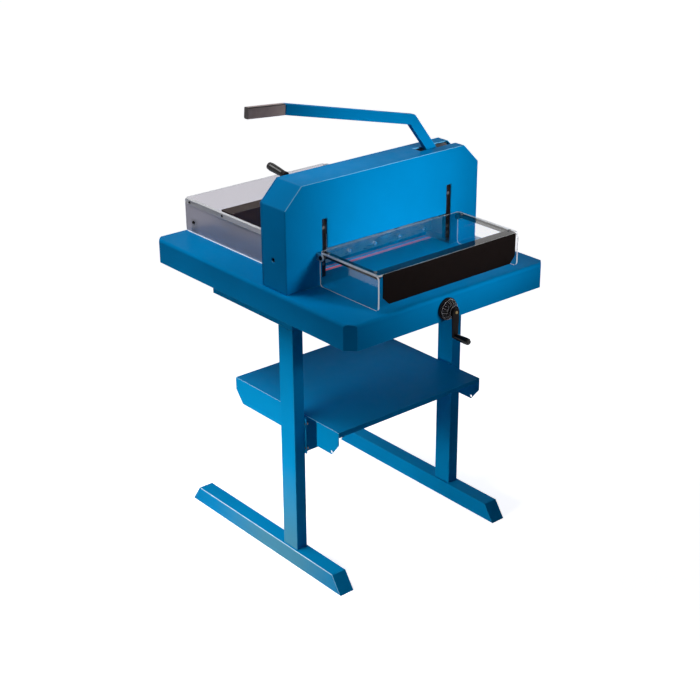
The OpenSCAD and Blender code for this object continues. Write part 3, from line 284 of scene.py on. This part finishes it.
mats = {
    "blue_paint": paint(
        "blue_paint", BLUE, PAINT_GLOSS, PAINT_SPEC, PAINT_PEEL, BLUE_RUBBED_AND_LIT, PAINT_WEAR_AND_LIGHT, PAINT_SHEEN,
        floor_reflection=FLOOR_REFLECTION),
    "blue_bend_highlight": paint(
        "blue_bend_highlight", BLUE, PAINT_GLOSS, PAINT_SPEC, PAINT_PEEL, BLUE_RUBBED_AND_LIT, PAINT_WEAR_AND_LIGHT, PAINT_SHEEN,
        floor_reflection=FLOOR_REFLECTION, bend_highlight=BLUE_BEND_HIGHLIGHT),
    "black_paint": paint("black_paint", (0.006, 0.004, 0.004), 0.42, 0.06, 0.06, (0.03, 0.028, 0.03)),
    "black_plastic": plastic("black_plastic", (0.006, 0.005, 0.005), 0.14, 0.22, 700.0, 0.03),
    # Grip: edges toned dark; painted shade on its left end and up-front corner
    "grip_sleeve": plastic(
        "grip_sleeve", (0.370, 0.292, 0.286), 0.55, 0.3, 1100.0, 0.25, (0.09, 0.08, 0.08), GRIP_END_SHADE),
    "red_plastic": plastic("red_plastic", (0.62, 0.05, 0.10), 0.45, 0.4, 900.0, 0.1),
    "bolt_steel": metal("bolt_steel", (0.62, 0.63, 0.65), 0.30, 420.0, (1.0, 1.0, 1.0)),
    "machined_steel": metal("machined_steel", (0.60, 0.61, 0.63), 0.30, 260.0, (0.12, 1.0, 2.0)),
    "grey_iron": metal("grey_iron", (0.20, 0.20, 0.21), 0.48, 700.0, (1.0, 1.0, 1.0), 0.55),
    "brass": metal("brass", (0.70, 0.50, 0.24), 0.26, 380.0, (1.0, 0.2, 1.0)),
    "gauge_brown": paint(
        "gauge_brown", GAUGE_BROWN, 0.55, 0.08, 0.30, (0.16, 0.12, 0.11), front=GAUGE_FRONT_LIGHT),
    "guard_black": plastic("guard_black", (0.0032, 0.0014, 0.0011), 0.45, 0.03, 800.0, 0.05),
    "hub_plastic": plastic("hub_plastic", (0.004, 0.003, 0.003), 0.10, 0.08, 700.0, 0.02),
    "dull_brass": metal("dull_brass", (0.30, 0.23, 0.11), 0.40, 380.0, (1.0, 0.2, 1.0)),
    "bright_steel": metal("bright_steel", (0.86, 0.87, 0.89), 0.16, 420.0, (1.0, 1.0, 1.0), 0.9),
    "black_oxide": metal("black_oxide", (0.15, 0.15, 0.155), 0.38, 420.0, (1.0, 1.0, 1.0)),
}


def lead_screw(name, colour, rough, pitch):
    """Turned steel rod: thread turns across Y, darker in the grooves."""
    m, t, bsdf, co = new_material(name)
    turns = t.nodes.new("ShaderNodeTexWave")
    turns.wave_type = "BANDS"
    turns.bands_direction = "Y"
    turns.inputs["Scale"].default_value = math.tau / (WAVE_STEP * pitch)
    t.links.new(co, turns.inputs["Vector"])
    groove = turns.outputs["Fac"]
    smudge = noise(t, co, 60.0, 4.0)
    tone = ramp(t, smudge, [(0.3, scaled(colour, 0.8)), (0.7, colour)])
    tone = blend(t, remap(t, groove, 0.8, 0.0, 0.15, 0.55), tone, scaled(colour, 0.18))
    t.links.new(tone, bsdf.inputs["Base Color"])
    bsdf.inputs["Metallic"].default_value = 1.0
    t.links.new(remap(t, smudge, rough - 0.05, rough + 0.10), bsdf.inputs["Roughness"])
    bump(t, bsdf, [(groove, 0.8, pitch / 5)])
    return m


def knife_mirror():
    """Mirror-ground blade with the faint lines of the grinding wheel."""
    m, t, bsdf, co = new_material("knife_steel")
    lines = noise(t, co, 520.0, 4.0, (1.0, 0.05, 0.05))
    tone = ramp(t, lines, [(0.3, (0.74, 0.76, 0.79)), (0.7, (0.82, 0.83, 0.85))])
    t.links.new(tone, bsdf.inputs["Base Color"])
    bsdf.inputs["Metallic"].default_value = 1.0
    t.links.new(remap(t, lines, 0.02, 0.07), bsdf.inputs["Roughness"])
    bump(t, bsdf, [(lines, 0.015, 0.00005)])
    return m


def height_zone(t, coord, low, high):
    """1 between two heights of the row, 0 outside, with soft borders of a millimetre."""
    parts = t.nodes.new("ShaderNodeSeparateXYZ")
    t.links.new(coord, parts.inputs[0])
    above = remap(t, parts.outputs["Z"], 0.0, 1.0, low - BORDER, low + BORDER)
    below = remap(t, parts.outputs["Z"], 1.0, 0.0, high - BORDER, high + BORDER)
    return joined(t, "MINIMUM", above, below)


def acrylic(name, across, clear, tint, blur=0.02, shine=1.0, band=None, foot=None):
    """Clear sheet: hair scratches and handling haze, with its sawn edges, off the axis across, frosted.

    Between the two heights of band, where the outer strip doubles the sheet, its colour is painted paler, and
    between those of foot its edge gets a painted glow (emission) and the frosted-edge tone.
    """
    m, t, bsdf, co = new_material(name)
    parts = t.nodes.new("ShaderNodeSeparateXYZ")
    t.links.new(co.node.outputs["Normal"], parts.inputs[0])
    size = t.nodes.new("ShaderNodeMath")
    size.operation = "ABSOLUTE"
    t.links.new(parts.outputs[across], size.inputs[0])
    rim = remap(t, size.outputs[0], 1.0, 0.0, 0.55, 0.90)
    if foot:
        # Painted glow: the sheet's bottom edge emits light and takes the frosted-edge tone
        glow = height_zone(t, co, *foot)
        rim = joined(t, "MAXIMUM", rim, glow)
        bsdf.inputs["Emission Color"].default_value = (*PAINTED_FOOT_GLOW, 1.0)
        t.links.new(remap(t, glow, 0.0, GLOW_STRENGTH, 0.0, 1.0), bsdf.inputs["Emission Strength"])
    haze = noise(t, co, 14.0, 5.0)
    tone = ramp(t, haze, [(0.3, scaled(tint, 0.97)), (0.7, tint)])
    # Painted paler band where the outer strip doubles the sheet
    if band:
        tone = blend(t, height_zone(t, co, *band), tone, STRIP_TINT)
    t.links.new(blend(t, rim, tone, SAWN_EDGE), bsdf.inputs["Base Color"])
    t.links.new(remap(t, rim, clear, 0.30, 0.0, 1.0), bsdf.inputs["Transmission Weight"])
    scratch = remap(t, noise(t, co, 900.0, 2.0, (0.03, 0.6, 1.0)), blur, blur + 0.08, 0.55, 0.8)
    rough = joined(t, "MAXIMUM", scratch, remap(t, rim, 0.0, 0.45, 0.0, 1.0))
    t.links.new(rough, bsdf.inputs["Roughness"])
    bsdf.inputs["IOR"].default_value = ACRYLIC_IOR
    bsdf.inputs["Specular Tint"].default_value = (shine, shine, shine, 1.0)
    bump(t, bsdf, [(haze, 0.004, 0.0003)])
    return m


mats["knife_steel"] = knife_mirror()
mats["screw_thread"] = lead_screw("screw_thread", STEEL_THREAD, 0.30, THREAD_PITCH)
# Bevel faces of these edges get a painted highlight; on the crank hub, painted glints
LIT_EDGES = {
    "housing_cover": lit_edge("housing_edge_highlight", BLUE, (0.20, 0.52, 0.78), 0.06, EDGE_SHEEN),
    "table_pan": lit_edge("table_edge_highlight", BLUE, (0.08, 0.38, 0.66), 0.06, EDGE_SHEEN),
    "gauge_casting": lit_edge("gauge_edge_highlight", GAUGE_BROWN, (0.40, 0.38, 0.38), 0.08, WHITE),
    # Painted glints: the bevel faces on the ridges of the hub's flutes are near white
    "crank_hub": plastic("hub_ridge_glint", (0.90, 0.88, 0.90), 0.20, 0.5, 700.0, 0.02),
}
bay_low, bay_high = (corner[2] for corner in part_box("bay_left"))
SHEETS = {
    "guard_top": acrylic("front_sheet_z", "Z", 1.0, FRONT_TINT, shine=0.35),
    "bay_back": acrylic("rear_sheet_y", "Y", 0.97, BACK_TINT, shine=0.6),
}
SHEETS["guard_left"] = SHEETS["guard_right"] = acrylic("front_sheet_x", "X", 1.0, FRONT_TINT, shine=0.5)
SHEETS["bay_left"] = SHEETS["bay_right"] = acrylic(
    "rear_sheet_x", "X", 0.50, REAR_TINT, 0.30,
    band=(bay_high - BAND_HEIGHT, bay_high), foot=(bay_low, bay_low + GLOW_HEIGHT))
SHEETS["bay_strips"] = acrylic("rear_strip_x", "X", 0.45, STRIP_TINT, 0.20)

OWN = {
    "guard_front": mats["guard_black"], "slide_bolts": mats["black_oxide"], "guard_screws": mats["black_oxide"],
    "guard_brackets": mats["bolt_steel"], "crank_hub": mats["hub_plastic"], "crank_screw": mats["dull_brass"],
    "knife_bolts": mats["bright_steel"], "gauge_screw": mats["screw_thread"],
    "feet": mats["blue_bend_highlight"], "shelf": mats["blue_bend_highlight"], "brace_bolts": mats["black_oxide"],
    **SHEETS,
}
slots = {part["node"]: part["material_slot"] for part in frame["record"]["subparts"]}
for name, obj in nodes.items():
    obj.data.materials.clear()
    obj.data.materials.append(OWN.get(name) or mats[slots[name]])

# Edges: broken corners in millimetres; LIT_EDGES gives some of them their own material, with a painted
# highlight or painted glints
EDGES = {
    "feet": 2.0, "foot_caps": 0.8, "posts": 1.6, "bearers": 1.6, "cross_brace": 1.2, "shelf": 2.0,
    "table_pan": 1.0, "bed_rails": 1.2, "cutting_stick": 0.4, "gauge_casting": 1.5, "gauge_nut": 0.8,
    "screw_bearings": 1.0, "crank_plate": 0.8, "crank_hub": 1.5, "crank_arm": 1.2, "crank_screw": 0.3,
    "crank_grip": 0.8, "housing_cover": 3.0, "rear_panel": 1.0, "side_frames": 1.2, "front_tie": 0.8,
    "rear_tie": 0.8, "tie_bolts": 0.4, "knife_carrier": 0.6, "slide_bars": 0.5, "slide_bolts": 0.15,
    "knife_bolts": 0.5, "carrier_rack": 0.3, "lever_bar": 1.6, "lever_sector": 0.4, "lever_grip": 1.2,
    "depth_screw": 0.4, "clamp_beam": 0.8, "clamp_rack": 0.3, "clamp_pinion": 0.3, "clamp_bush": 0.6,
    "clamp_arm": 1.2, "clamp_grip": 1.2, "clamp_rods": 0.5, "rod_guides": 0.8, "bay_left": 0.9,
    "bay_right": 0.9, "bay_back": 0.7, "bay_strips": 0.7, "bay_brackets": 0.4, "bay_screws": 0.5,
    "guard_left": 0.7,
    "guard_right": 0.7, "guard_top": 0.7, "guard_front": 0.6, "guard_arms": 0.6, "guard_screws": 0.5,
    "guard_pins": 0.5, "guard_brackets": 0.5, "brace_bolts": 0.4,
}
for name, width in EDGES.items():
    obj = nodes[name]
    weld = obj.modifiers.new("weld", "WELD")
    weld.merge_threshold = WELD_GAP
    edge = obj.modifiers.new("edge", "BEVEL")
    edge.width = width / 1000
    edge.segments = 3 if width >= ROUND_FROM_MM else 2
    edge.limit_method = "ANGLE"
    edge.angle_limit = EDGE_ANGLE
    edge.use_clamp_overlap = True
    if name in LIT_EDGES:
        obj.data.materials.append(LIT_EDGES[name])
        edge.material = 1
    normals = obj.modifiers.new("normals", "WEIGHTED_NORMAL")
    normals.keep_sharp = True


# Floor and light

def ray_seen(t):
    """1 for rays from the camera, from gloss and through glass, 0 for the rest."""
    path = t.nodes.new("ShaderNodeLightPath")
    total = path.outputs["Is Camera Ray"]
    for other in ("Is Glossy Ray", "Is Transmission Ray"):
        total = joined(t, "MAXIMUM", total, path.outputs[other])
    return total


def make_floor():
    """Pale floor that keeps the shadow; its glow for the camera rises with the distance from the origin."""
    bpy.ops.mesh.primitive_plane_add(size=FLOOR_SIZE, location=(0, 0, 0))
    floor = bpy.context.object
    floor.name = "floor"
    m = bpy.data.materials.new("floor")
    m.use_nodes = True
    t = m.node_tree
    t.nodes.clear()
    out = t.nodes.new("ShaderNodeOutputMaterial")
    diffuse = t.nodes.new("ShaderNodeBsdfDiffuse")
    diffuse.inputs["Color"].default_value = (*FLOOR_GREY, 1)
    glow = t.nodes.new("ShaderNodeEmission")
    away = t.nodes.new("ShaderNodeVectorMath")
    away.operation = "LENGTH"
    t.links.new(t.nodes.new("ShaderNodeTexCoord").outputs["Object"], away.inputs[0])
    level = remap(t, away.outputs["Value"], FLOOR_DIM, FLOOR_BRIGHT, FLOOR_NEAR, FLOOR_FAR)
    t.links.new(joined(t, "MULTIPLY", ray_seen(t), level), glow.inputs["Strength"])
    add = t.nodes.new("ShaderNodeAddShader")
    t.links.new(diffuse.outputs[0], add.inputs[0])
    t.links.new(glow.outputs[0], add.inputs[1])
    t.links.new(add.outputs[0], out.inputs["Surface"])
    floor.data.materials.append(m)


def make_world():
    """Dim blue light from around, seen as white."""
    world = bpy.data.worlds.new("studio")
    scene.world = world
    world.use_nodes = True
    t = world.node_tree
    t.nodes.clear()
    out = t.nodes.new("ShaderNodeOutputWorld")
    light = t.nodes.new("ShaderNodeBackground")
    light.inputs["Strength"].default_value = WORLD_STRENGTH
    light.inputs["Color"].default_value = (*SKY, 1)
    seen = t.nodes.new("ShaderNodeBackground")
    seen.inputs["Color"].default_value = (*WHITE, 1)
    mix = t.nodes.new("ShaderNodeMixShader")
    t.links.new(ray_seen(t), mix.inputs[0])
    t.links.new(light.outputs[0], mix.inputs[1])
    t.links.new(seen.outputs[0], mix.inputs[2])
    t.links.new(mix.outputs[0], out.inputs["Surface"])


def lamp(name, place, aim, size, power, spread, colour=WHITE):
    """Area lamp: place, aim and size in metres, power in watts, spread in degrees."""
    data = bpy.data.lights.new(name, "AREA")
    data.shape = "RECTANGLE"
    data.size, data.size_y = size
    data.energy = power
    data.color = colour
    data.spread = math.radians(spread)
    obj = bpy.data.objects.new(name, data)
    obj.visible_camera = False
    scene.collection.objects.link(obj)
    look = Vector(aim) - Vector(place)
    facing_aim = look.to_track_quat("-Z", "Y").to_matrix().to_4x4()
    obj.matrix_world = Matrix.Translation(place) @ facing_aim


make_floor()
make_world()
lamp("front_box", (0.43, -1.53, 1.5), (0.07, -0.13, 1.01), (0.5, 0.3), 1.6, 40.0)
lamp("top_box", (-1.0, 0.8, 2.3), (-0.25, 0.25, 0.85), (1.0, 0.8), 7.0, 100.0)
lamp("low_left", (-1.35, 0.15, 0.76), (-0.3, 0.08, 0.22), (1.0, 0.25), 3.1, 62.0, LOW_LAMP)
lamp("right_box", (1.75, 0.25, 0.40), (0.1, 0.05, 0.55), (0.9, 0.3), 3.0, 90.0)
lamp("bay_fill", (-0.05, -0.35, 2.0), (-0.12, 0.15, 0.93), (0.3, 0.3), 0.12, 28.0)

# Camera at the photograph's place, solved from corners of the machine
YAW, PITCH, ROLL = 0.6976, 0.4219, -0.0059
FOCAL_PX, IMAGE_PX, SENSOR = 1417.62, 700.0, 36.0
CAMERA_PLACE = (-2.40779, -2.88093, 2.24708)
ahead = Vector((math.sin(YAW) * math.cos(PITCH), math.cos(YAW) * math.cos(PITCH), -math.sin(PITCH)))
right = Vector((math.cos(YAW), -math.sin(YAW), 0.0))
up = right.cross(ahead)
right, up = (
    math.cos(ROLL) * right + math.sin(ROLL) * up,
    -math.sin(ROLL) * right + math.cos(ROLL) * up,
)
camera_data = bpy.data.cameras.new("camera")
camera_data.sensor_width = SENSOR
camera_data.lens = FOCAL_PX * SENSOR / IMAGE_PX
camera = bpy.data.objects.new("camera", camera_data)
scene.collection.objects.link(camera)
turn = Matrix((right, up, -ahead)).transposed().to_4x4()
camera.matrix_world = Matrix.Translation(CAMERA_PLACE) @ turn
scene.camera = camera
scene.view_settings.view_transform = "Standard"
